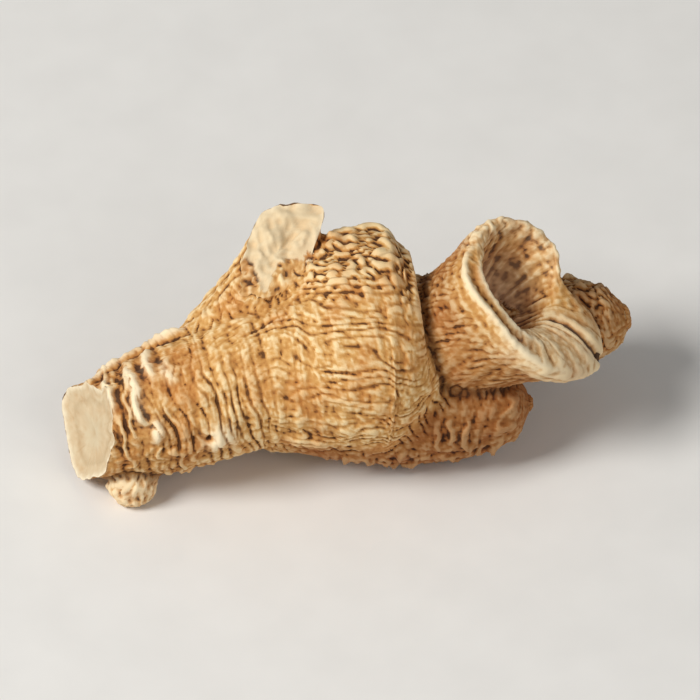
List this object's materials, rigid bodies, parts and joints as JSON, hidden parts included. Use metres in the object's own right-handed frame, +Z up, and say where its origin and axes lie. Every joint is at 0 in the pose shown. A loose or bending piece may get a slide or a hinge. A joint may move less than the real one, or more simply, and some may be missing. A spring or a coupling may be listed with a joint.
{
  "type": "american ginseng root",
  "caption": "Dried American ginseng root lying on its side: a stout ringed taproot, cut square at the thin end, with a hollow stem scar at its crown and cut side-root stubs.",
  "frame": {"origin": "on the surface that the root lies on, under the middle of its box", "axes": "+X along the root from its cut thin end to its crown, +Z up, +Y away from the side that the picture shows"},
  "size_m": [0.0478, 0.0182, 0.0197],
  "materials": {
    "root_skin": "matt"
  },
  "bodies": {
    "root": {"ginseng_root": "root_skin"}
  },
  "joints": []
}
